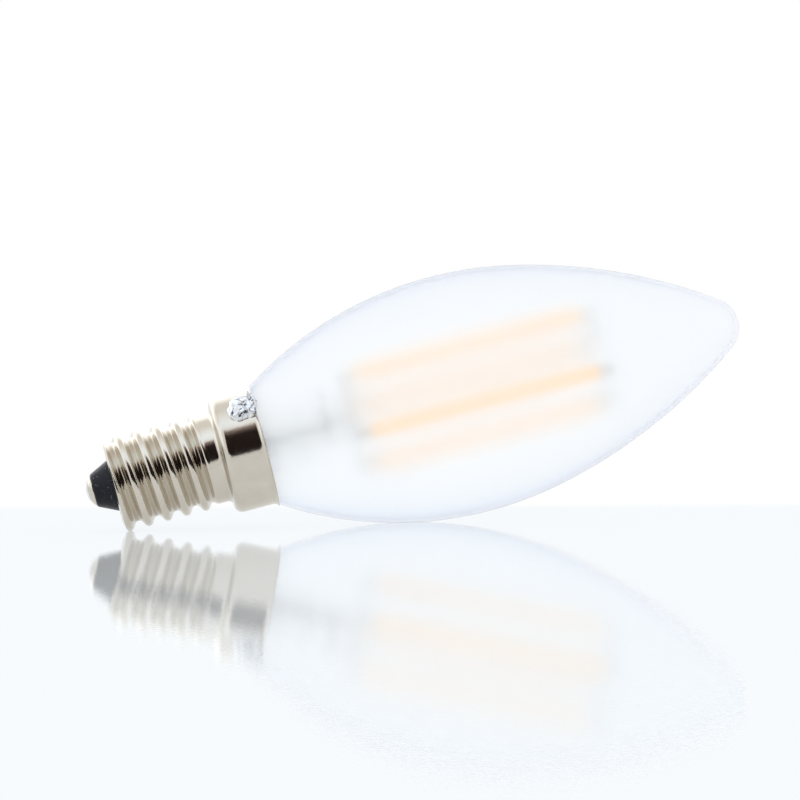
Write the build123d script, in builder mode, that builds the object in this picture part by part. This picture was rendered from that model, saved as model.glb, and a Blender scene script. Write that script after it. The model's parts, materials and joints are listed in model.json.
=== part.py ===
from build123d import *

import os
from math import acos, asin, atan2, ceil, cos, degrees, hypot, radians, sin, sqrt

# A frosted candle lamp with a small rolled-thread screw cap, lying at rest on its cap and its belly.
# Sizes are millimetres. A station is a distance along the lamp's axis from the tip of its contact,
# a radius is measured from that axis, and an angle turns about it from the front towards the floor.

# Centre contact and insulator
contact_r = 2.25
contact_height = 1.0
drop_r = 1.3
drop_height = 0.3
shank_r = 1.0
shank_bore_r = 0.6
shank_length = 2.4
insulator_height = 2.9
insulator_tip_r = 2.35
insulator_base_r = 3.75
insulator_depth = 2.4

# Screw shell
thread_r = 6.945
thread_pitch = 2.822
thread_depth = 1.1
steps_per_turn = 10
thread_length = 14.2
thread_fade = 1.3
first_crest = 0.9
shell_wall = 0.25
end_rise = 0.3
cap_neck_r = 6.45
cap_neck_length = 1.9
collar_r = 8.5
collar_length = 6.3
collar_corner = 1.2
lip_length = 1.1
lip_flare = 0.5
fit = 0.05

# Solder and lead at the side of the collar
solder_angle = -44.0
solder_inset = 1.75
solder_width = 4.4
solder_height = 1.15
solder_top_share = 0.55
spike_r = 0.4
spike_height = 1.3
spike_taper = 12.0
spike_sides = 5
lead_slot_length = 2.4
lead_slot_width = 0.7
thin_wire_r = 0.2
lead_turn = 0.65
lead_clearance = 0.45

# Glass envelope
overall_length = 98.0
belly_r = 17.5
rim_to_belly = 29.5
shoulder_arc = 55.0
shoulder_turn = radians(12)
nose_r = 4.45
glass_wall = 0.6
cement_gap = 0.55
neck_seat = 1.3

# Stem
stem_r = 4.1
stem_wall = 0.9
stem_length = 10.5
flare_length = 4.0
flare_waist = 1.0
press_taper = 3.0
press_height = 3.2
press_thickness = 3.6
press_corner = 1.4
exhaust_r = 1.5
exhaust_wall = 0.45
exhaust_length = 13.0
exhaust_tip = 2.2

# Filament cage
filament_count = 4
filament_angle = 13.4
cage_r = 6.9
cage_lift = 0.3
filament_length = 34.0
filament_width = 1.9
filament_depth = 1.5
filament_corner = 0.45
tab_length = 2.0
tab_width = 1.1
tab_thickness = 0.25
wire_r = 0.25
wire_sides = 8
wire_rise = 0.75
weld_gap = 0.15
lead_spacing = 2.4
link_spacing = 1.2
link_depth = 3.0
post_r = 0.8
bead_r = 1.9
bead_length = 1.8
link_drop = 0.4

# Driver in the cap
board_thickness = 0.8
board_length = 11.6
board_gap = 0.6
part_gap = 0.7
lead_overlap = 2.4
capacitor_r = 2.5
capacitor_length = 8.0
capacitor_offset = 0.2
capacitor_lift = 0.5
package_width = 3.9
package_draft = 8.0
rectifier_length = 4.7
rectifier_height = 2.4
chip_length = 4.2
chip_height = 1.5
fuse_r = 1.0
fuse_length = 5.5
fuse_offset = -3.9
fuse_lift = 1.5
side_lead_offset = 4.4

# Stations along the cap
shell_end = contact_height + insulator_height
insulator_top = shell_end + insulator_depth
run_out = shell_end + thread_length
collar_floor = run_out + cap_neck_length
rim = collar_floor + collar_length
lip = rim - lip_length
slot_end = rim - lead_slot_length

# Radii of the cap
root_r = thread_r - thread_depth
bore_r = root_r - shell_wall
neck_bore_r = cap_neck_r - shell_wall
collar_bore_r = collar_r - shell_wall
corner_r = collar_r - collar_corner
end_hole_r = insulator_base_r + fit
bed_end = shell_end + shell_wall + end_rise


def crown_arc(width, height):
    """Radius of the arc that falls by a height at a width from its crown."""
    return (width**2 + height**2) / (2 * height)


# Centre contact: a dished plate with a drop of solder over its bore
drop_arc = crown_arc(drop_r, drop_height)

# Glass: one arc from the mouth of the lip to the belly, a shoulder, a long taper and a round nose
mouth_r = collar_bore_r + lip_flare - fit
neck_r = collar_bore_r - cement_gap
neck_end = collar_floor + shell_wall + neck_seat + stem_wall
belly = rim + rim_to_belly
neck_arc = crown_arc(rim_to_belly, belly_r - mouth_r)
shoulder_end_r = belly_r - shoulder_arc * (1 - cos(shoulder_turn))
shoulder_end = belly + shoulder_arc * sin(shoulder_turn)
nose = overall_length - nose_r
taper_run = nose - shoulder_end
taper_lean = shoulder_end_r * cos(shoulder_turn) - taper_run * sin(shoulder_turn)
taper_arc = (taper_run**2 + shoulder_end_r**2 - nose_r**2) / (2 * (taper_lean - nose_r))
taper_centre_r = shoulder_end_r - taper_arc * cos(shoulder_turn)
taper_centre = shoulder_end - taper_arc * sin(shoulder_turn)
nose_turn = asin((nose - taper_centre) / (taper_arc - nose_r))

# Stations along the stem and the filament cage
press_floor = neck_end + stem_length
press_top = press_floor + press_taper + press_height
filament_start = press_top + cage_lift + tab_length
filament_end = filament_start + filament_length
link_station = filament_end + tab_length - link_drop

# Stations and places in the driver
board_start = insulator_top + board_gap
board_end = board_start + board_length
board_top = wire_r + board_thickness
part_start = board_start + part_gap
chip_start = board_end - part_gap - chip_length
lead_end = board_end - lead_overlap
capacitor_start = board_start + capacitor_lift
fuse_start = board_start + fuse_lift

# Rest: the tangent from the lowest thread crest to the neck arc lies on the floor
crest = shell_end + first_crest
crest_to_belly = belly - crest
crest_over_centre = thread_r - belly_r + neck_arc
crest_reach = hypot(crest_to_belly, crest_over_centre)
rest_tilt = atan2(crest_to_belly, crest_over_centre) - acos(neck_arc / crest_reach)
near_end = drop_arc * (cos(rest_tilt) - 1)
far_end = nose * cos(rest_tilt) + nose_r
tip_height = neck_arc + (belly_r - neck_arc) * cos(rest_tilt) - belly * sin(rest_tilt)

# The origin is on the floor under the middle of the lamp; its tip points along +X and its front along -Y
contact_tip = Vector(-(near_end + far_end) / 2, 0, tip_height)
lamp_axis = Axis(contact_tip, (cos(rest_tilt), 0, sin(rest_tilt)))
section = Plane(contact_tip, x_dir=(0, -1, 0), z_dir=lamp_axis.direction)
meridian = Plane(contact_tip, x_dir=section.x_dir, z_dir=(-sin(rest_tilt), 0, cos(rest_tilt)))
solder_out = section.x_dir.rotate(lamp_axis, solder_angle)
solder_side = Plane(contact_tip, x_dir=solder_out, z_dir=solder_out.cross(lamp_axis.direction))


def polar(radius, angle, station):
    """A point in the axes of the cross-section plane."""
    return (radius * cos(radians(angle)), radius * sin(radians(angle)), station)


def save(builder, name):
    """Label a finished piece and write its file."""
    builder.part.label = name
    export_step(builder.part, f"parts/{name}.step")


os.makedirs("parts", exist_ok=True)


# Glass envelope: blown in one piece, open only at the neck
def glass_outline(inset):
    """The profile from the neck to the tip, set in from the outer surface."""
    neck_centre_r = belly_r - neck_arc
    neck_turn = degrees(acos((neck_r - inset - neck_centre_r) / (neck_arc - inset)))
    shoulder = degrees(shoulder_turn)
    taper = degrees(nose_turn)
    neck = CenterArc((neck_centre_r, belly), neck_arc - inset, -neck_turn, neck_turn)
    Line((neck_r - inset, neck_end), neck @ 0)
    CenterArc((belly_r - shoulder_arc, belly), shoulder_arc - inset, 0, shoulder)
    CenterArc((taper_centre_r, taper_centre), taper_arc - inset, shoulder, taper - shoulder)
    CenterArc((0, nose), nose_r - inset, taper, 90 - taper)


with BuildPart() as glass_envelope:
    with BuildSketch(meridian):
        with BuildLine():
            glass_outline(0)
            glass_outline(glass_wall)
            Line((neck_r, neck_end), (neck_r - glass_wall, neck_end))
            Line((0, overall_length), (0, overall_length - glass_wall))
        make_face()
    revolve(axis=lamp_axis)
save(glass_envelope, "glass_envelope")


# Screw shell: a rolled helical thread, a plain neck and a collar with a flared lip
def collar_outline():
    """The outside of the neck and the collar, from the thread's run-out to the rim."""
    fade_start = run_out - thread_fade
    Polyline(
        (0, rim),
        (0, fade_start),
        (root_r - fit, fade_start),
        (cap_neck_r, run_out),
        (cap_neck_r, collar_floor),
        (corner_r, collar_floor),
    )
    Bezier((corner_r, collar_floor), (collar_r, collar_floor), (collar_r, collar_floor + collar_corner))
    Polyline(
        (collar_r, collar_floor + collar_corner),
        (collar_r, lip),
        (collar_r + lip_flare, rim),
        (0, rim),
    )


thread_step = thread_pitch / steps_per_turn
steps_below = ceil(first_crest / thread_step)
steps_above = ceil((run_out - crest) / thread_step)

with BuildPart() as screw_shell:
    # Circles whose centres climb a helix, half the thread's depth off the axis, make the rolled wave
    for step in range(-steps_below, steps_above + 1):
        with BuildSketch(section.offset(crest + step * thread_step)):
            with PolarLocations(thread_depth / 2, 1, 90 + 360 * step / steps_per_turn, rotate=False):
                Circle(thread_r - thread_depth / 2)
    loft(ruled=True)
    # The free end turns in to hold the insulator, and the crests fade out towards the neck
    with BuildSketch(meridian):
        with BuildLine():
            Polyline(
                (0, shell_end),
                (end_hole_r, shell_end),
                (thread_r + fit, shell_end + end_rise),
                (thread_r + fit, run_out - thread_fade),
                (cap_neck_r, run_out),
                (0, run_out),
                close=True,
            )
        make_face()
    revolve(axis=lamp_axis, mode=Mode.INTERSECT)
    with BuildSketch(meridian):
        with BuildLine():
            collar_outline()
        make_face()
    revolve(axis=lamp_axis)
    with BuildSketch(meridian):
        with BuildLine():
            Polyline(
                (bore_r, bed_end),
                (end_hole_r, shell_end + shell_wall),
                (end_hole_r, shell_end - fit),
                (0, shell_end - fit),
                (0, rim + fit),
                (collar_bore_r + lip_flare, rim + fit),
                (collar_bore_r + lip_flare, rim),
                (collar_bore_r, lip),
                (collar_bore_r, collar_floor + collar_corner),
                (corner_r, collar_floor + shell_wall),
                (neck_bore_r, collar_floor + shell_wall),
                (neck_bore_r, run_out),
                (bore_r, run_out - thread_fade),
                close=True,
            )
        make_face()
    revolve(axis=lamp_axis, mode=Mode.SUBTRACT)
    # A slot through the lip lets the lead out to its solder
    with BuildSketch(solder_side):
        with Locations((collar_r, slot_end)):
            Rectangle(2 * (shell_wall + lip_flare), 2 * lead_slot_length, align=(Align.CENTER, Align.MIN))
    extrude(amount=lead_slot_width / 2, both=True, mode=Mode.SUBTRACT)
save(screw_shell, "screw_shell")

# Insulator: black glass cast into the free end of the shell
with BuildPart() as insulator:
    with BuildSketch(meridian):
        with BuildLine():
            Polyline(
                (bore_r - fit, bed_end + fit),
                (insulator_base_r, shell_end + shell_wall + fit),
                (insulator_base_r, shell_end),
                (insulator_tip_r, contact_height),
                (shank_r + fit, contact_height),
                (shank_r + fit, insulator_top),
                (bore_r - fit, insulator_top),
                close=True,
            )
        make_face()
    revolve(axis=lamp_axis)
save(insulator, "insulator")


# Centre contact: the plate with its hollow shank, and the drop of solder that closes it
with BuildPart() as contact_plate:
    with BuildSketch(meridian):
        with BuildLine():
            Polyline(
                (shank_bore_r, drop_height),
                (drop_r, drop_height),
                (contact_r, contact_height),
                (shank_r, contact_height),
                (shank_r, contact_height + shank_length),
                (shank_bore_r, contact_height + shank_length),
                close=True,
            )
        make_face()
    revolve(axis=lamp_axis)
save(contact_plate, "contact_plate")

with BuildPart() as contact_solder:
    with BuildSketch(meridian):
        with BuildLine():
            drop = CenterArc((0, drop_arc), drop_arc, -90, degrees(asin(drop_r / drop_arc)))
            Polyline(
                drop @ 1,
                (shank_bore_r, drop_height),
                (shank_bore_r, contact_height),
                (0, contact_height),
                drop @ 0,
            )
        make_face()
    revolve(axis=lamp_axis)
save(contact_solder, "contact_solder")


# Wires: straight runs with tight bends
def bent_wires(radius, *routes):
    """One or more wires along points given in the axes of the cross-section plane."""
    with BuildPart() as wires:
        for points in routes:
            with BuildLine(section) as route:
                Polyline(*points)
            with BuildSketch(Plane(route.line @ 0, z_dir=route.line % 0)):
                RegularPolygon(radius, wire_sides)
            sweep(transition=Transition.RIGHT)
    return wires


weld_r = cage_r - tab_thickness / 2 - wire_r
weld_low = filament_start - weld_gap
weld_high = filament_end + weld_gap
wire_station = press_top + wire_rise


def rising_wire(foot, angle):
    """The points of a wire from its foot in the press out to the near tab of one filament."""
    return [
        (*foot, wire_station),
        polar(weld_r, angle, wire_station),
        polar(weld_r, angle, weld_low),
    ]


angles = [filament_angle + 360 * number / filament_count for number in range(filament_count)]
front_angle, bottom_angle, back_angle, top_angle = angles

# Two wires lead in through the stem, and a third, held in the press, joins the bottom and top filaments
front_foot = (lead_spacing, 0)
back_foot = (-lead_spacing, 0)
bottom_foot = (0, link_spacing)
top_foot = (0, -link_spacing)
front_lead = bent_wires(wire_r, [(*front_foot, lead_end), *rising_wire(front_foot, front_angle)])
back_lead = bent_wires(wire_r, [(*back_foot, lead_end), *rising_wire(back_foot, back_angle)])
press_link = bent_wires(
    wire_r,
    [
        *reversed(rising_wire(bottom_foot, bottom_angle)),
        (*bottom_foot, press_top - link_depth),
        (*top_foot, press_top - link_depth),
        *rising_wire(top_foot, top_angle),
    ],
)
save(front_lead, "front_lead")
save(back_lead, "back_lead")
save(press_link, "press_link")


def far_link(angle, next_angle):
    """A wire from one far tab in to the bead and out to the next."""
    return bent_wires(
        wire_r,
        [
            polar(weld_r, angle, weld_high),
            polar(weld_r, angle, link_station),
            polar(bead_r + wire_r, (angle + next_angle) / 2, link_station),
            polar(weld_r, next_angle, link_station),
            polar(weld_r, next_angle, weld_high),
        ],
    )


save(far_link(front_angle, bottom_angle), "lower_link")
save(far_link(back_angle, top_angle), "upper_link")

# Stem: a flare fused to the end of the neck, a tube, and a press that grips the wires
with BuildPart() as stem:
    with BuildSketch(meridian):
        with BuildLine():
            stem_bore_r = stem_r - stem_wall
            flare_end = neck_end + flare_length
            throat_r = stem_r + flare_waist
            throat = neck_end + flare_waist
            Polyline(
                (neck_r, neck_end),
                (neck_r - glass_wall, neck_end),
                (throat_r, throat),
                (stem_r, flare_end),
                (stem_r, press_floor),
                (stem_bore_r, press_floor),
                (stem_bore_r, flare_end),
                (throat_r - stem_wall, throat - stem_wall / 2),
                (neck_r - glass_wall, neck_end - stem_wall),
                (neck_r, neck_end - stem_wall),
                close=True,
            )
        make_face()
    revolve(axis=lamp_axis)
    with BuildSketch(section.offset(press_floor)):
        Circle(stem_r)
    with BuildSketch(section.offset(press_floor + press_taper)) as press:
        RectangleRounded(2 * stem_r, press_thickness, press_corner)
    loft()
    add(press.sketch)
    extrude(amount=press_height)
    for wire in (front_lead, back_lead, press_link):
        add(wire.part, mode=Mode.SUBTRACT)
save(stem, "stem")

# Exhaust tube: runs from the press back through the stem, drawn out and melted shut at its end
with BuildPart() as exhaust_tube:
    with BuildSketch(meridian):
        with BuildLine():
            exhaust_bore_r = exhaust_r - exhaust_wall
            exhaust_end = press_floor - exhaust_length
            tip_start = exhaust_end + exhaust_tip
            Polyline(
                (0, exhaust_end),
                (exhaust_r, tip_start),
                (exhaust_r, press_floor),
                (exhaust_bore_r, press_floor),
                (exhaust_bore_r, tip_start),
                (0, exhaust_end + 2 * exhaust_wall),
                close=True,
            )
        make_face()
    revolve(axis=lamp_axis)
save(exhaust_tube, "exhaust_tube")

# Support post: a glass rod on the press, with a bead that the far wires meet
with BuildPart() as support_post:
    with BuildSketch(meridian):
        with BuildLine():
            Polyline(
                (0, press_top),
                (post_r, press_top),
                (post_r, link_station - bead_length / 2),
                (bead_r, link_station - bead_length / 2),
                (bead_r, link_station + bead_length / 2),
                (0, link_station + bead_length / 2),
                close=True,
            )
        make_face()
    revolve(axis=lamp_axis)
save(support_post, "support_post")

# Filaments: coated strips on a ring about the post, with a metal tab at each end
for number, angle in enumerate(angles, 1):
    with BuildPart() as filament:
        with BuildSketch(section.offset(filament_start)):
            with PolarLocations(cage_r, 1, angle):
                bar = Rectangle(filament_depth, filament_width)
            chamfer(bar.vertices(), filament_corner)
        extrude(amount=filament_length)
    save(filament, f"filament_{number}")
    with BuildPart() as tabs:
        for station, length in ((filament_start, -tab_length), (filament_end, tab_length)):
            with BuildSketch(section.offset(station)):
                with PolarLocations(cage_r, 1, angle):
                    Rectangle(tab_thickness, tab_width)
            extrude(amount=length)
    save(tabs, f"filament_{number}_tabs")

# Driver: a board wedged in the shell, with its parts on both faces
with BuildPart() as driver_board:
    with BuildSketch(meridian.offset(wire_r)):
        with Locations((0, board_start)):
            half_width = sqrt(bore_r**2 - board_top**2) - fit
            Rectangle(2 * half_width, board_length, align=(Align.CENTER, Align.MIN))
    extrude(amount=board_thickness)
save(driver_board, "driver_board")


def package(station, length, height):
    """A moulded chip package on top of the board."""
    with BuildPart() as block:
        with BuildSketch(meridian.offset(board_top)):
            with Locations((0, station)):
                Rectangle(package_width, length, align=(Align.CENTER, Align.MIN))
        extrude(amount=height, taper=package_draft)
    return block


save(package(part_start, rectifier_length, rectifier_height), "rectifier")
save(package(chip_start, chip_length, chip_height), "driver_chip")


def can(x, radius, station, length):
    """A round part under the board, along the axis."""
    with BuildPart() as body:
        with BuildSketch(section.offset(station)):
            with Locations((x, radius - wire_r)):
                Circle(radius)
        extrude(amount=length)
    return body


save(can(capacitor_offset, capacitor_r, capacitor_start, capacitor_length), "smoothing_capacitor")
save(can(fuse_offset, fuse_r, fuse_start, fuse_length), "fuse_resistor")

# Leads: from the fuse to the centre contact and to the board, and from the board to the side solder
fuse_place = (fuse_offset, fuse_r - wire_r)
fuse_end = fuse_start + fuse_length
fuse_bend = fuse_end + part_gap
lead_station = insulator_top + board_gap / 2
fuse_leads = bent_wires(
    thin_wire_r,
    [(*fuse_place, fuse_start), (*fuse_place, lead_station), (0, 0, lead_station), (0, 0, contact_height)],
    [(*fuse_place, fuse_end), (*fuse_place, fuse_bend), (fuse_offset, -wire_r, fuse_bend)],
)
save(fuse_leads, "fuse_leads")

rise_r = (neck_r + collar_bore_r) / 2
run_station = collar_floor + shell_wall + lead_clearance
out_station = slot_end + lead_slot_width / 2
side_place = (side_lead_offset, thin_wire_r - wire_r)
side_lead = bent_wires(
    thin_wire_r,
    [
        (*side_place, lead_end),
        (*side_place, run_station),
        polar(rise_r - lead_turn, solder_angle, run_station),
        polar(rise_r, solder_angle, run_station + lead_turn),
        polar(rise_r, solder_angle, out_station),
        polar(collar_r + solder_height / 2, solder_angle, out_station),
    ],
)
save(side_lead, "side_lead")

# Capping cement: a ring between the neck and the collar
with BuildPart() as capping_cement:
    with BuildSketch(section.offset(neck_end)):
        Circle(collar_bore_r - fit)
        Circle(neck_r + fit, mode=Mode.SUBTRACT)
    extrude(amount=slot_end - neck_end)
    add(side_lead.part, mode=Mode.SUBTRACT)
save(capping_cement, "capping_cement")


# Side solder: a crumpled lump over the slot, with a pulled point, seated on the collar and the glass
def lump_outline(width):
    """An uneven ring of corners about the lump's middle, with +x towards the glass."""
    corners = [
        (-0.48, -0.14),
        (-0.34, -0.43),
        (0.06, -0.52),
        (0.40, -0.38),
        (0.47, 0.06),
        (0.33, 0.41),
        (-0.04, 0.50),
        (-0.40, 0.32),
    ]
    Polyline(*[(x * width, y * width) for x, y in corners], close=True)


def solder_plane(height):
    """The plane square to the solder's side of the collar, at a height over it."""
    origin = solder_side.from_local_coords((collar_r + height, rim - solder_inset))
    return Plane(origin, x_dir=lamp_axis.direction, z_dir=solder_out)


with BuildPart() as side_solder:
    with BuildSketch(solder_plane(-solder_height)):
        with BuildLine():
            lump_outline(solder_width)
        make_face()
    with BuildSketch(solder_plane(solder_height)):
        with BuildLine():
            lump_outline(solder_width * solder_top_share)
        make_face()
    loft(ruled=True)
    with BuildSketch(solder_plane(solder_height / 2)):
        with Locations((solder_width / 4, -solder_width / 8)):
            RegularPolygon(spike_r, spike_sides)
    extrude(amount=spike_height, taper=spike_taper)
    with BuildSketch(meridian):
        with BuildLine():
            collar_outline()
        make_face()
    revolve(axis=lamp_axis, mode=Mode.SUBTRACT)
    with BuildSketch(meridian):
        with BuildLine():
            glass_outline(-fit)
            Polyline((neck_r + fit, neck_end), (0, neck_end), (0, overall_length + fit))
        make_face()
    revolve(axis=lamp_axis, mode=Mode.SUBTRACT)
    add(side_lead.part, mode=Mode.SUBTRACT)
save(side_solder, "side_solder")
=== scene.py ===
import json
from math import acos, asin, cos, exp, hypot, pi, radians, sin

import bmesh
import bpy
from mathutils import Matrix, Vector, noise


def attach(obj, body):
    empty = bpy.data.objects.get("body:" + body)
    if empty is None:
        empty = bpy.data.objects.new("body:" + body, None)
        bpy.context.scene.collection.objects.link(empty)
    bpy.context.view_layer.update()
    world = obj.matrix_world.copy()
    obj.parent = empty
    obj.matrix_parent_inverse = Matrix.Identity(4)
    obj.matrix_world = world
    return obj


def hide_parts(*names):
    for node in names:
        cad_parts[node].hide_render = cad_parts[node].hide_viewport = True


# A frosted candle lamp lying at rest on a glossy pale floor.
# Places on the lamp are a radius, an angle and a station: the station is the distance along the lamp's
# axis from the tip of its contact, and the angle turns about the axis from the front towards the floor.
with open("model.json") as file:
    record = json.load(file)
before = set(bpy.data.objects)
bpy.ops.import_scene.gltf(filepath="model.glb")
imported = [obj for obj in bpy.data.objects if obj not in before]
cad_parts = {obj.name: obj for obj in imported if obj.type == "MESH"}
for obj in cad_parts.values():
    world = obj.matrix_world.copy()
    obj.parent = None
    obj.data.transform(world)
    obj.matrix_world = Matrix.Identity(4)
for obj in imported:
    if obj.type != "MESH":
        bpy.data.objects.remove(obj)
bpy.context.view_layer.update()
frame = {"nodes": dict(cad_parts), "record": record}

MM = 0.001
BODY = "root"

# Sizes of the lamp, in millimetres
overall_length = 98.0
contact_r = 2.25
contact_height = 1.0
drop_r = 1.3
drop_height = 0.3
shank_r = 1.0
shank_bore_r = 0.6
shank_length = 2.4
insulator_height = 2.9
insulator_tip_r = 2.35
insulator_base_r = 3.75
insulator_depth = 2.4
insulator_edge = 0.3
thread_r = 6.945
thread_pitch = 2.822
thread_depth = 1.1
thread_length = 14.2
thread_fade = 1.3
first_crest = 0.9
shell_wall = 0.25
end_hole_r = 3.8
end_rise = 0.3
end_flat_inset = 0.5
end_flat_rise = 0.03
cap_neck_r = 6.45
cap_neck_length = 1.9
neck_fillet = 0.7
collar_r = 8.5
collar_length = 6.3
collar_corner = 1.2
lip_length = 1.1
lip_flare = 0.5
solder_inset = 1.62
solder_r = 2.35
solder_height = 1.15
solder_crumple = 0.6
solder_rise = 0.6
solder_seat = 0.12
facet_size = 0.72
spike_height = 1.5
spike_r = 0.3
spike_x = 1.1
spike_y = 0.55
slot_length = 2.4
slot_width = 0.7
belly_r = 17.5
rim_to_belly = 29.5
shoulder_arc = 55.0
nose_r = 4.45
glass_wall = 0.6
neck_r = 7.7
neck_end = 22.45
mouth_r = 8.7
fit = 0.05

# Angles
solder_angle = radians(-44)
shoulder_turn = radians(12)

# Shares and powers that shape the thread, the lip and the lump of solder
crest_bluntness = 0.35
# Share of the thread's depth, from its crests, where the painted shade in its roots begins
root_shade_start = 0.9
end_reach = 0.9
flare_power = 4.0
crown_flatness = 3
crown_power = 0.6
edge_unevenness = 0.25
edge_waves = 1.5
edge_layer = 0.5
crumple_hold = 2
facet_shuffle = 97.0
cell_middle = Vector((0.5, 0.5, 0.5))

# Fineness of the meshes: points along a profile, segments round the axis
glass_steps = 20
glass_segments = 256
lead_in_steps = 8
thread_steps = 190
neck_steps = 4
fillet_steps = 8
corner_steps = 10
collar_steps = 6
slot_steps = 4
lip_steps = 10
shell_segments = 240
edge_steps = 6
cone_steps = 8
dome_steps = 8
small_segments = 96
lump_rings = 60
lump_segments = 180

# Gaps between the shell's rings where one stretch follows another, in millimetres
lead_in_gap = 0.04
thread_gap = 0.06
run_out_gap = 0.05
collar_gap = 0.2

# Stations and radii that follow from them
shell_end = contact_height + insulator_height
insulator_top = shell_end + insulator_depth
bed_end = shell_end + shell_wall + end_rise
crest = shell_end + first_crest
thread_start = shell_end + end_rise
run_out = shell_end + thread_length
collar_floor = run_out + cap_neck_length
collar_start = collar_floor + collar_corner
rim = collar_floor + collar_length
lip = rim - lip_length
slot_end = rim - slot_length
belly = rim + rim_to_belly
nose = overall_length - nose_r
root_r = thread_r - thread_depth
bore_r = root_r - shell_wall
end_turn_r = end_hole_r + (root_r - end_hole_r) * end_reach
collar_bore_r = collar_r - shell_wall

# The lamp's axis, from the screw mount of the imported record
mount = frame["record"]["mounts"][0]
lamp_axis = -Vector(mount["axis"]).normalized()
contact_tip = Vector(mount["pos_m"]) - lamp_axis * shell_end * MM
front = Vector((0, -1, 0))
downward = lamp_axis.cross(front)


def place(radius, angle, station):
    """A point in metres from its radius, angle and station in millimetres and radians."""
    across = front * cos(angle) + downward * sin(angle)
    return contact_tip + (lamp_axis * station + across * radius) * MM


# Mesh helpers
def add_piece(name, mesh, material, slot, *nodes):
    """Turn a bmesh into a smooth piece that rides on the lamp and stands for CAD nodes."""
    bmesh.ops.recalc_face_normals(mesh, faces=mesh.faces)
    data = bpy.data.meshes.new(name)
    mesh.to_mesh(data)
    mesh.free()
    for face in data.polygons:
        face.use_smooth = True
    piece = bpy.data.objects.new(name, data)
    bpy.context.scene.collection.objects.link(piece)
    data.materials.append(material)
    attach(piece, BODY)
    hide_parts(*nodes)


def skin(mesh, rings, gap=None):
    """Faces between each ring of corners and the next, the last joined to the first.

    gap, where given, is (first, last) of the segments and (first, last) of the rings left open by a slot."""
    segments = len(rings[0])
    for index, (ring, following) in enumerate(zip(rings, rings[1:] + rings[:1])):
        for k in range(segments):
            if gap and gap[0][0] <= k < gap[0][1] and gap[1][0] <= index < gap[1][1]:
                continue
            after = (k + 1) % segments
            corners = dict.fromkeys((ring[k], ring[after], following[after], following[k]))
            if len(corners) > 2:
                mesh.faces.new(list(corners))
    if gap:
        (near, far), (first, last) = gap
        for side in gap[0]:
            mesh.faces.new([ring[side] for ring in rings[first : last + 1]])
        for k in range(near, far):
            mesh.faces.new((rings[first][k], rings[first][k + 1], rings[last][k + 1], rings[last][k]))


def turned(profile, segments, wave=None, gap=None):
    """A closed profile of (radius, station) points turned about the lamp's axis.

    wave(radius, angle, station), where given, returns the radius at that place."""
    mesh = bmesh.new()
    angles = [2 * pi * k / segments for k in range(segments)]
    rings = []
    for radius, station in profile:
        if radius == 0:
            rings.append([mesh.verts.new(place(0, 0, station))] * segments)
            continue
        reach = [wave(radius, angle, station) if wave else radius for angle in angles]
        rings.append([mesh.verts.new(place(r, a, station)) for r, a in zip(reach, angles)])
    skin(mesh, rings, gap)
    return mesh


def arc(centre_r, centre, radius, start, end, steps):
    """Points of a profile arc from one angle to another, the angle turning from outward to the tip."""
    angles = [start + (end - start) * k / steps for k in range(steps + 1)]
    return [(max(0.0, centre_r + radius * cos(a)), centre + radius * sin(a)) for a in angles]


def run(start, end, steps):
    """Evenly spaced profile points from one to another, both included."""
    return [
        (start[0] + (end[0] - start[0]) * k / steps, start[1] + (end[1] - start[1]) * k / steps)
        for k in range(steps + 1)
    ]


def rounded(start, corner, end, steps):
    """Profile points that round a corner between two points."""
    shares = [k / steps for k in range(steps + 1)]
    return [
        tuple(a * (1 - t) ** 2 + 2 * b * t * (1 - t) + c * t * t for a, b, c in zip(start, corner, end))
        for t in shares
    ]


def smoothstep(value):
    """An ease from 0 to 1."""
    value = min(1.0, max(0.0, value))
    return value * value * (3 - 2 * value)


# Node helpers
noise_roughness = 0.55


def noise_field(tree, scale, detail=4.0):
    """A noise texture in object coordinates; scale is in cycles for each millimetre."""
    coordinates = tree.nodes.new("ShaderNodeTexCoord")
    texture = tree.nodes.new("ShaderNodeTexNoise")
    texture.inputs["Scale"].default_value = scale / MM
    texture.inputs["Detail"].default_value = detail
    texture.inputs["Roughness"].default_value = noise_roughness
    tree.links.new(coordinates.outputs["Object"], texture.inputs["Vector"])
    return texture.outputs["Fac"]


def spread(tree, source, low, high, start=0.3, end=0.7):
    """Map a field, from start to end of its values, to a range of numbers or colours."""
    if isinstance(low, tuple):
        ramp = tree.nodes.new("ShaderNodeValToRGB")
        ramp.color_ramp.elements[0].position = start
        ramp.color_ramp.elements[0].color = (*low, 1)
        ramp.color_ramp.elements[1].position = end
        ramp.color_ramp.elements[1].color = (*high, 1)
        tree.links.new(source, ramp.inputs["Fac"])
        return ramp.outputs["Color"]
    mapped = tree.nodes.new("ShaderNodeMapRange")
    mapped.inputs["From Min"].default_value = start
    mapped.inputs["From Max"].default_value = end
    mapped.inputs["To Min"].default_value = low
    mapped.inputs["To Max"].default_value = high
    tree.links.new(source, mapped.inputs["Value"])
    return mapped.outputs["Result"]


def blend(tree, share, colour, other):
    """A colour field that a share from 0 to 1 turns into another colour."""
    mix = tree.nodes.new("ShaderNodeMix")
    mix.data_type = "RGBA"
    mix.inputs["B"].default_value = (*other, 1)
    tree.links.new(share, mix.inputs["Factor"])
    tree.links.new(colour, mix.inputs["A"])
    return mix.outputs["Result"]


def combine(tree, operation, first, second):
    """A number worked out from two others."""
    node = tree.nodes.new("ShaderNodeMath")
    node.operation = operation
    tree.links.new(first, node.inputs[0])
    tree.links.new(second, node.inputs[1])
    return node.outputs["Value"]


def bump(tree, shader, source, height):
    """Let a field raise the surface by a height in millimetres."""
    node = tree.nodes.new("ShaderNodeBump")
    node.inputs["Strength"].default_value = 1.0
    node.inputs["Distance"].default_value = height * MM
    tree.links.new(source, node.inputs["Height"])
    tree.links.new(node.outputs["Normal"], shader.inputs["Normal"])


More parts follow.
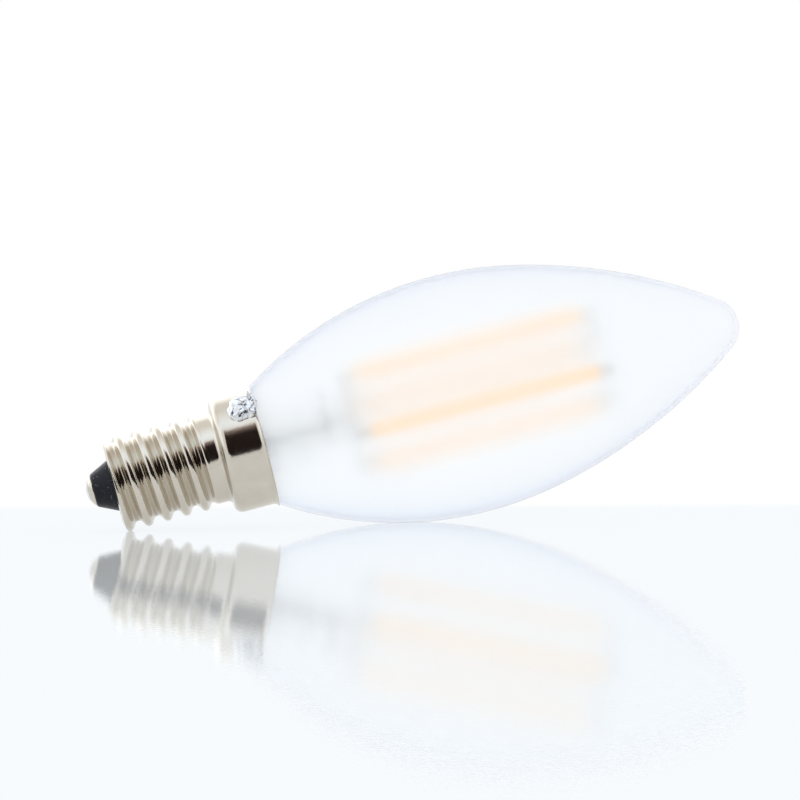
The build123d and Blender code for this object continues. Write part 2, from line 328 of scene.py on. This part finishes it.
# Materials of the lamp: patches of colour are coarser than the grain by this ratio
patch_ratio = 4


def new_material(name, **sockets):
    """A material with one Principled shader, its constant sockets set by name."""
    material = bpy.data.materials.new(name)
    material.use_nodes = True
    shader = material.node_tree.nodes["Principled BSDF"]
    for socket, value in sockets.items():
        shader.inputs[socket.replace("_", " ")].default_value = value
    return material, material.node_tree, shader


def textured(name, low, high, rough, grain, height, **sockets):
    """A surface whose colour, roughness and relief follow two sizes of noise."""
    material, tree, shader = new_material(name, **sockets)
    broad = noise_field(tree, grain / patch_ratio)
    fine = noise_field(tree, grain)
    tree.links.new(spread(tree, broad, low, high), shader.inputs["Base Color"])
    tree.links.new(spread(tree, fine, *rough), shader.inputs["Roughness"])
    bump(tree, shader, fine, height)
    return material


def frosted_glass():
    """Etched glass: clear to light and blurred to sight, with a painted reflection that turns it bluish and
    darker where it is seen edge-on.
    """
    material, tree, shader = new_material(
        "frosted_glass", Transmission_Weight=1.0, IOR=1.1, Specular_IOR_Level=0.1
    )
    broad = noise_field(tree, scale=0.08)
    fine = noise_field(tree, scale=5.0)
    facing = tree.nodes.new("ShaderNodeLayerWeight").outputs["Facing"]
    painted_rim_share = spread(tree, facing, 0.0, 1.0, start=0.5, end=1.0)
    body = spread(tree, broad, low=(0.968, 0.984, 1.0), high=(0.975, 0.989, 1.0))
    # Painted reflection at the rim: bluish and darker where the glass is seen edge-on
    tree.links.new(blend(tree, painted_rim_share, body, other=(0.92, 0.94, 1.0)), shader.inputs["Base Color"])
    tree.links.new(spread(tree, fine, low=0.8, high=0.9), shader.inputs["Roughness"])
    bump(tree, shader, fine, height=0.001)
    return material


def clear_glass():
    """Drawn glass with slight waves."""
    material, tree, shader = new_material("clear_glass", Transmission_Weight=1.0, IOR=1.12)
    waves = noise_field(tree, scale=0.3)
    tint = spread(tree, waves, low=(0.975, 0.98, 0.975), high=(0.99, 0.992, 0.99))
    tree.links.new(tint, shader.inputs["Base Color"])
    tree.links.new(spread(tree, waves, low=0.04, high=0.1), shader.inputs["Roughness"])
    bump(tree, shader, waves, height=0.05)
    return material


def insulator_black():
    """Black cast glass with pale specks."""
    material, tree, shader = new_material("insulator_black", Specular_IOR_Level=0.2)
    specks = noise_field(tree, scale=3.0, detail=2.0)
    grain = noise_field(tree, scale=6.0)
    colour = spread(tree, specks, low=(0.007, 0.008, 0.013), high=(0.3, 0.31, 0.36), start=0.66, end=0.74)
    tree.links.new(colour, shader.inputs["Base Color"])
    tree.links.new(spread(tree, grain, low=0.28, high=0.42), shader.inputs["Roughness"])
    bump(tree, shader, grain, height=0.02)
    return material


def nickel_plate():
    """Nickel plating with faint stains and fine grain, and painted shade: browner in the thread's roots,
    where the mesh marks them.
    """
    material, tree, shader = new_material("nickel_plate", Metallic=1.0)
    stains = noise_field(tree, scale=0.35)
    grain = noise_field(tree, scale=3.5, detail=3.0)
    plate_colour = spread(tree, stains, low=(0.6, 0.55, 0.47), high=(0.645, 0.597, 0.517))
    # Painted shade: the plate turns brown in the thread's roots, by a share that the mesh carries
    root_shade_share = tree.nodes.new("ShaderNodeAttribute")
    root_shade_share.attribute_name = "painted_root_shade"
    colour = blend(tree, root_shade_share.outputs["Fac"], plate_colour, other=(0.43, 0.375, 0.29))
    tree.links.new(colour, shader.inputs["Base Color"])
    tree.links.new(spread(tree, grain, low=0.1, high=0.17), shader.inputs["Roughness"])
    bump(tree, shader, grain, height=0.006)
    return material


frosted = frosted_glass()
clear = clear_glass()
black = insulator_black()
nickel = nickel_plate()
solder = textured(
    "solder",
    low=(0.66, 0.67, 0.69),
    high=(0.84, 0.85, 0.87),
    rough=(0.12, 0.3),
    grain=2.0,
    height=0.05,
    Metallic=1.0,
)
wire = textured(
    "wire",
    low=(0.74, 0.73, 0.71),
    high=(0.86, 0.85, 0.83),
    rough=(0.25, 0.45),
    grain=3.0,
    height=0.01,
    Metallic=1.0,
)
# Painted glow: the phosphor strips give off a faint warm light though the lamp is off
phosphor = textured(
    "phosphor",
    low=(0.97, 0.65, 0.38),
    high=(0.99, 0.73, 0.48),
    rough=(0.5, 0.7),
    grain=2.0,
    height=0.05,
    Emission_Color=(1.0, 0.78, 0.63, 1),
    Emission_Strength=0.22,
)
cement = textured(
    "cement", low=(0.6, 0.55, 0.46), high=(0.78, 0.74, 0.66), rough=(0.7, 0.95), grain=2.0, height=0.1
)
board = textured(
    "board", low=(0.03, 0.16, 0.07), high=(0.06, 0.24, 0.11), rough=(0.3, 0.45), grain=1.0, height=0.01
)
package = textured(
    "package", low=(0.02, 0.02, 0.022), high=(0.05, 0.05, 0.055), rough=(0.5, 0.7), grain=5.0, height=0.02
)
can_metal = textured(
    "can_metal",
    low=(0.6, 0.61, 0.62),
    high=(0.75, 0.76, 0.77),
    rough=(0.2, 0.35),
    grain=2.0,
    height=0.01,
    Metallic=1.0,
)
lacquer = textured(
    "lacquer", low=(0.28, 0.4, 0.42), high=(0.4, 0.5, 0.52), rough=(0.25, 0.4), grain=2.0, height=0.03
)

slot_materials = {
    "frosted_glass": frosted,
    "clear_glass": clear,
    "nickel": nickel,
    "insulator": black,
    "solder": solder,
    "wire": wire,
    "phosphor": phosphor,
    "cement": cement,
    "board": board,
    "package": package,
    "can": can_metal,
    "fuse": lacquer,
}
for part in frame["record"]["subparts"]:
    node = frame["nodes"][part["node"]]
    node.data.materials.clear()
    node.data.materials.append(slot_materials[part["material_slot"]])


# Glass envelope: the same arcs as the solid, with an even mesh
def glass_profile(inset, steps):
    """The glass from the neck to the tip, set in from the outer surface."""
    neck_arc = (rim_to_belly**2 + (belly_r - mouth_r) ** 2) / (2 * (belly_r - mouth_r))
    neck_centre_r = belly_r - neck_arc
    neck_turn = acos((neck_r - inset - neck_centre_r) / (neck_arc - inset))
    shoulder_end_r = belly_r - shoulder_arc * (1 - cos(shoulder_turn))
    shoulder_end = belly + shoulder_arc * sin(shoulder_turn)
    taper_run = nose - shoulder_end
    taper_lean = shoulder_end_r * cos(shoulder_turn) - taper_run * sin(shoulder_turn)
    taper_arc = (taper_run**2 + shoulder_end_r**2 - nose_r**2) / (2 * (taper_lean - nose_r))
    taper_centre_r = shoulder_end_r - taper_arc * cos(shoulder_turn)
    taper_centre = shoulder_end - taper_arc * sin(shoulder_turn)
    nose_turn = asin((nose - taper_centre) / (taper_arc - nose_r))
    points = [(neck_r - inset, neck_end)]
    points += arc(neck_centre_r, belly, neck_arc - inset, -neck_turn, 0, 2 * steps)
    points += arc(belly_r - shoulder_arc, belly, shoulder_arc - inset, 0, shoulder_turn, steps)[1:]
    points += arc(taper_centre_r, taper_centre, taper_arc - inset, shoulder_turn, nose_turn, 2 * steps)[1:]
    points += arc(0, nose, nose_r - inset, nose_turn, pi / 2, steps)[1:-1]
    return points + [(0, overall_length - inset)]


outer = glass_profile(0, glass_steps)
inner = glass_profile(glass_wall, glass_steps)
envelope = turned(outer + inner[::-1], glass_segments)
add_piece("glass_body", envelope, frosted, "frosted_glass", "glass_envelope")


# Screw shell: a fine helical thread, a plain neck and a collar with a flared lip
def thread_wave(radius, angle, station):
    """Radius of the rolled thread, with blunt crests and round roots, fading into the neck."""
    if radius < root_r or station >= run_out:
        return radius
    turn = (station - crest) / thread_pitch - (angle - pi / 2) / (2 * pi)
    wave = cos(2 * pi * turn)
    height = (1 + wave * (1 + crest_bluntness * (1 - wave**2))) / 2
    fade = smoothstep((station - run_out + thread_fade) / thread_fade)
    lead_in = smoothstep((station - shell_end) / end_rise)
    threaded = root_r + thread_depth * height
    threaded += (end_turn_r - threaded) * (1 - lead_in)
    return threaded + (cap_neck_r - threaded) * fade


def lip_r(station):
    """Radius of the collar, which flares over the length of its lip."""
    rise = max(0.0, (station - lip) / lip_length)
    return collar_r + lip_flare * rise**flare_power


shell_profile = [(end_hole_r, shell_end), (root_r - end_flat_inset, shell_end + end_flat_rise)]
shell_profile += run((root_r, shell_end + lead_in_gap), (root_r, thread_start), lead_in_steps)
shell_profile += run((root_r, thread_start + thread_gap), (root_r, run_out - run_out_gap), thread_steps)
shell_profile += run((cap_neck_r, run_out), (cap_neck_r, collar_floor - neck_fillet), neck_steps)
shell_profile += arc(
    cap_neck_r + neck_fillet, collar_floor - neck_fillet, -neck_fillet, 0, -pi / 2, fillet_steps
)[1:]
shell_profile += arc(collar_r - collar_corner, collar_start, collar_corner, -pi / 2, 0, corner_steps)
shell_profile += run((collar_r, collar_start + collar_gap), (collar_r, slot_end), collar_steps)
slot_first = len(shell_profile) - 1
shell_profile += run((collar_r, slot_end + collar_gap), (collar_r, lip - collar_gap), slot_steps)
lip_stations = [lip + lip_length * k / lip_steps for k in range(1, lip_steps + 1)]
shell_profile += [(lip_r(station), station) for station in lip_stations]
shell_profile += [
    (collar_bore_r + lip_flare, rim),
    (collar_bore_r, lip),
    (collar_bore_r, slot_end),
    (collar_bore_r, collar_start),
    (collar_r - collar_corner, collar_floor + shell_wall),
    (cap_neck_r - shell_wall, collar_floor + shell_wall),
    (cap_neck_r - shell_wall, run_out),
    (bore_r, run_out - thread_fade),
    (bore_r, bed_end),
    (end_hole_r, shell_end + shell_wall),
]
slot_last = shell_profile.index((collar_bore_r, slot_end))
segment_turn = 2 * pi / shell_segments
slot_middle = solder_angle / segment_turn % shell_segments
slot_half = slot_width / collar_r / segment_turn / 2
slot_sides = (round(slot_middle - slot_half), round(slot_middle + slot_half))
shell = turned(shell_profile, shell_segments, thread_wave, (slot_sides, (slot_first, slot_last)))
# Painted shade in the thread's roots: a share on each corner, rising to 1 at the deepest part, that browns
# the nickel
painted_root_shade = shell.verts.layers.float.new("painted_root_shade")
for corner in shell.verts:
    reach = corner.co - contact_tip
    station = reach.dot(lamp_axis) / MM
    depth = (thread_r - reach.cross(lamp_axis).length / MM) / thread_depth
    if thread_start < station < run_out:
        corner[painted_root_shade] = smoothstep((depth - root_shade_start) / (1 - root_shade_start))
add_piece("threaded_shell", shell, nickel, "nickel", "screw_shell")

# Insulator: a cone of black glass with a soft edge round the contact
cone_lean = (insulator_base_r - insulator_tip_r) / insulator_height
insulator_profile = [(shank_r + fit, contact_height)]
insulator_profile += rounded(
    (insulator_tip_r - insulator_edge, contact_height),
    (insulator_tip_r, contact_height),
    (insulator_tip_r + insulator_edge * cone_lean, contact_height + insulator_edge),
    edge_steps,
)
insulator_profile += run(insulator_profile[-1], (insulator_base_r, shell_end), cone_steps)[1:]
insulator_profile += [
    (insulator_base_r, shell_end + shell_wall + fit),
    (bore_r - fit, bed_end + fit),
    (bore_r - fit, insulator_top),
    (shank_r + fit, insulator_top),
]
cone = turned(insulator_profile, small_segments)
add_piece("insulator_cone", cone, black, "insulator", "insulator")

# Centre contact: a domed plate on a hollow shank, and the drop of solder in its middle
dome_arc = (contact_r**2 + contact_height**2) / (2 * contact_height)
dome_start = -acos(drop_r / dome_arc)
dome_end = -acos(contact_r / dome_arc)
plate_profile = [(shank_bore_r, drop_height)]
plate_profile += arc(0, dome_arc, dome_arc, dome_start, dome_end, dome_steps)
plate_profile += [
    (shank_r, contact_height),
    (shank_r, contact_height + shank_length),
    (shank_bore_r, contact_height + shank_length),
]
dome = turned(plate_profile, small_segments)
add_piece("contact_dome", dome, nickel, "nickel", "contact_plate")
drop_arc = (drop_r**2 + drop_height**2) / (2 * drop_height)
drop_profile = [(0, 0)]
drop_profile += arc(0, drop_arc, drop_arc, -pi / 2, -acos(drop_r / drop_arc), dome_steps)[1:]
drop_profile += [(shank_bore_r, drop_height), (shank_bore_r, contact_height), (0, contact_height)]
drop = turned(drop_profile, small_segments)
add_piece("contact_drop", drop, solder, "solder", "contact_solder")


# Side solder: a crumpled lump over the slot, with a pulled point
def lump_foot(station):
    """Radius of what the lump lies on: the collar with its flared lip, or the glass."""
    return mouth_r if station > rim else lip_r(station)


def crumple(x, y):
    """Height of a skin of tilted facets, about as high as low."""
    point = Vector((x, y, 0)) / facet_size
    middle = noise.voronoi(point)[1][0]
    tilt = noise.cell_vector(middle * facet_shuffle) - cell_middle
    return (point - middle).dot(tilt)


def lump_corner(share, turn):
    """A corner of the lump's skin, at a share of the way from its middle to its edge."""
    way = Vector((cos(turn), sin(turn), edge_layer))
    edge = solder_r * (1 + edge_unevenness * noise.noise(way * edge_waves))
    x = share * edge * cos(turn)
    y = share * edge * sin(turn)
    crown = (1 - share**crown_flatness) ** crown_power
    height = solder_height * crown
    height += solder_crumple * crumple(x, y) * min(1.0, crumple_hold * crown)
    height += spike_height * exp(-((hypot(x - spike_x, y - spike_y) / spike_r) ** 2))
    station = rim - solder_inset + x
    radius = lump_foot(station) + height - solder_seat * share
    return place(radius, solder_angle - (y + solder_rise) / collar_r, station)


lump = bmesh.new()
turns = [2 * pi * k / lump_segments for k in range(lump_segments)]
lump_skin = [[lump.verts.new(lump_corner(0, 0))] * lump_segments]
for number in range(1, lump_rings + 1):
    lump_skin.append([lump.verts.new(lump_corner(number / lump_rings, turn)) for turn in turns])
underside = place(collar_r - solder_seat, solder_angle, rim - solder_inset)
lump_skin.append([lump.verts.new(underside)] * lump_segments)
skin(lump, lump_skin)
add_piece("solder_lump", lump, solder, "solder", "side_solder")

# Stage: a glossy pale floor that ends a little behind the lamp, and white beyond it. Places are in metres,
# the floor's grain is in cycles for each millimetre and its relief in millimetres.
stage_reach = 0.6
floor_edge = 0.03
floor_edge_slope = -0.4
floor_edge_blur = 0.012
floor_tint = (0.935, 0.963, 0.985)
floor_glow = 0.8
floor_ior = 1.42
floor_grain = 1.5
floor_relief = 0.006
white = (1, 1, 1)


def bare_material(name):
    """A material with no nodes."""
    material = bpy.data.materials.new(name)
    material.use_nodes = True
    material.node_tree.nodes.clear()
    return material, material.node_tree


def mixed(tree, share, first, second):
    """Two shaders mixed by a share of the second."""
    node = tree.nodes.new("ShaderNodeMixShader")
    tree.links.new(share, node.inputs["Fac"])
    tree.links.new(first, node.inputs[1])
    tree.links.new(second, node.inputs[2])
    return node.outputs["Shader"]


def show(tree, surface):
    """Make a shader the material's surface."""
    output = tree.nodes.new("ShaderNodeOutputMaterial")
    tree.links.new(surface, output.inputs["Surface"])


def seen(tree):
    """1 for the camera, in mirrors and through glass, and 0 for other rays."""
    path = tree.nodes.new("ShaderNodeLightPath").outputs
    mirrored = combine(tree, "MAXIMUM", path["Is Camera Ray"], path["Is Glossy Ray"])
    return combine(tree, "MAXIMUM", mirrored, path["Is Transmission Ray"])


def floor_material():
    """A pale sheet that mirrors at low angles and turns white past its back edge.

    Most of its colour is there in any light, and the rest keeps the lamp's shadow."""
    material, tree = bare_material("floor")
    coordinates = tree.nodes.new("ShaderNodeTexCoord")
    past_edge = tree.nodes.new("ShaderNodeVectorMath")
    past_edge.operation = "DOT_PRODUCT"
    past_edge.inputs[1].default_value = (-floor_edge_slope, 1, 0)
    tree.links.new(coordinates.outputs["Object"], past_edge.inputs[0])
    distance = past_edge.outputs["Value"]
    floor_end = floor_edge + floor_edge_blur
    tint = spread(tree, distance, floor_tint, white, floor_edge, floor_end)
    glow = spread(tree, distance, floor_glow, 1.0, floor_edge, floor_end)
    matt = tree.nodes.new("ShaderNodeBsdfDiffuse")
    tree.links.new(tint, matt.inputs["Color"])
    lit = tree.nodes.new("ShaderNodeEmission")
    tree.links.new(tint, lit.inputs["Color"])
    share = combine(tree, "MULTIPLY", seen(tree), glow)
    body = mixed(tree, share, matt.outputs["BSDF"], lit.outputs["Emission"])
    mirror = tree.nodes.new("ShaderNodeBsdfAnisotropic")
    mirror.inputs["Roughness"].default_value = 0.0
    tree.links.new(tint, mirror.inputs["Color"])
    bump(tree, mirror, noise_field(tree, floor_grain, detail=2.0), floor_relief)
    fresnel = tree.nodes.new("ShaderNodeFresnel")
    fresnel.inputs["IOR"].default_value = floor_ior
    show(tree, mixed(tree, fresnel.outputs["Fac"], body, mirror.outputs["BSDF"]))
    return material


def stage_sheet(name, corners, material):
    """A flat stage piece from its corners in metres, facing the side from which they turn leftwards."""
    mesh = bmesh.new()
    mesh.faces.new([mesh.verts.new(corner) for corner in corners])
    data = bpy.data.meshes.new(name)
    mesh.to_mesh(data)
    mesh.free()
    data.materials.append(material)
    sheet = bpy.data.objects.new(name, data)
    bpy.context.scene.collection.objects.link(sheet)
    return sheet


floor_corners = [(x * stage_reach, y * stage_reach, 0) for x, y in ((-1, -1), (1, -1), (1, 1), (-1, 1))]
stage_sheet("floor", floor_corners, floor_material())


# Cards round the lamp, for what its metal mirrors: each blends into the white round it
def card_material(name, along, stops, glow):
    """A glowing face with a clear back, which the smooth floor doesn't mirror.

    stops are (place, share) pairs along an axis. The face is white at a share of 0 and glows fully at 1."""
    material, tree = bare_material(name)
    coordinates = tree.nodes.new("ShaderNodeTexCoord")
    split = tree.nodes.new("ShaderNodeSeparateXYZ")
    tree.links.new(coordinates.outputs["Object"], split.inputs["Vector"])
    first, last = stops[0][0], stops[-1][0]
    position = spread(tree, split.outputs[along], 0.0, 1.0, first, last)
    ramp = tree.nodes.new("ShaderNodeValToRGB")
    ramp.color_ramp.interpolation = "EASE"
    for _ in stops[2:]:
        ramp.color_ramp.elements.new(0.5)
    for element, (stop, share) in zip(ramp.color_ramp.elements, stops):
        element.position = (stop - first) / (last - first)
        element.color = (share, share, share, 1)
    tree.links.new(position, ramp.inputs["Fac"])
    level = max(glow)
    hue = tuple(part / level for part in glow)
    lit = tree.nodes.new("ShaderNodeEmission")
    tree.links.new(spread(tree, ramp.outputs["Color"], white, hue, 0.0, 1.0), lit.inputs["Color"])
    tree.links.new(spread(tree, ramp.outputs["Color"], 1.0, level, 0.0, 1.0), lit.inputs["Strength"])
    back = tree.nodes.new("ShaderNodeNewGeometry").outputs["Backfacing"]
    from_floor = tree.nodes.new("ShaderNodeLightPath").outputs["Is Singular Ray"]
    unseen = combine(tree, "MAXIMUM", back, from_floor)
    nothing = tree.nodes.new("ShaderNodeBsdfTransparent")
    show(tree, mixed(tree, unseen, lit.outputs["Emission"], nothing.outputs["BSDF"]))
    material.cycles.emission_sampling = "NONE"
    return material


def add_card(name, along, stops, glow, start, end):
    """A card whose edge at its first stop runs from start to end. Only what mirrors can see it."""
    reach = Vector((0, 0, 0))
    reach["XYZ".index(along)] = stops[-1][0] - stops[0][0]
    corners = [start, end, Vector(end) + reach, Vector(start) + reach]
    card = stage_sheet(name, corners, card_material(name, along, stops, glow))
    card.visible_camera = False
    card.visible_diffuse = False
    card.visible_transmission = False
    card.visible_shadow = False
    card.visible_volume_scatter = False


# The dark card stands in front, the bright ones behind, at both ends and overhead
card_distance = 0.4
end_distance = 0.9
sky_height = 0.5
side_stops = ((0.0, 0.6), (0.3, 1.0), (0.9, 0.3))
side_glow = (1.4, 1.5, 1.6)
add_card(
    "dark_card",
    along="Z",
    stops=((0.0, 1.0), (0.3, 1.0), (0.68, 0.0)),
    glow=(0.02, 0.014, 0.013),
    start=(1.2, -card_distance, 0),
    end=(-0.28, -card_distance, 0),
)
add_card(
    "back_card",
    along="Z",
    stops=((0.05, 0.9), (0.2, 1.0), (0.7, 0.0)),
    glow=(1.7, 1.75, 1.8),
    start=(-0.78, card_distance, 0.05),
    end=(0.78, card_distance, 0.05),
)
add_card(
    "left_card",
    along="Z",
    stops=side_stops,
    glow=side_glow,
    start=(-end_distance, -0.4, 0),
    end=(-end_distance, 0.4, 0),
)
add_card(
    "right_card",
    along="Z",
    stops=side_stops,
    glow=side_glow,
    start=(end_distance, 0.4, 0),
    end=(end_distance, -0.3, 0),
)
add_card(
    "sky_card",
    along="Y",
    stops=((-0.5, 0.0), (-0.22, 1.0), (0.14, 0.0)),
    glow=(1.28, 1.42, 1.6),
    start=(1.0, -0.5, sky_height),
    end=(-1.0, -0.5, sky_height),
)

# World: an even white, which lights the lamp too
world = bpy.data.worlds.new("studio")
bpy.context.scene.world = world
world.use_nodes = True
background = world.node_tree.nodes["Background"]
background.inputs["Color"].default_value = (*white, 1)
background.inputs["Strength"].default_value = 1.0

# Camera: low in front, a little towards the cap
image_px = 800
focal_px = 3450
sensor_mm = 36
camera_azimuth = radians(-5.5)
camera_elevation = radians(2.0)
camera_roll = radians(-1.3)
camera_distance = 0.5
aim_station = 47.1
aim_shift = Vector((-0.28, 0, 1.33))
aim = place(0, 0, aim_station) + aim_shift * MM
towards = Vector(
    (
        sin(camera_azimuth) * cos(camera_elevation),
        -cos(camera_azimuth) * cos(camera_elevation),
        sin(camera_elevation),
    )
)
camera_data = bpy.data.cameras.new("camera")
camera_data.sensor_width = sensor_mm
camera_data.lens = focal_px / image_px * sensor_mm
camera = bpy.data.objects.new("camera", camera_data)
look = (-towards).to_track_quat("-Z", "Y").to_matrix().to_4x4() @ Matrix.Rotation(camera_roll, 4, "Z")
camera.matrix_world = Matrix.Translation(aim + towards * camera_distance) @ look
bpy.context.scene.collection.objects.link(camera)
bpy.context.scene.camera = camera

bpy.context.scene.view_settings.view_transform = "Standard"
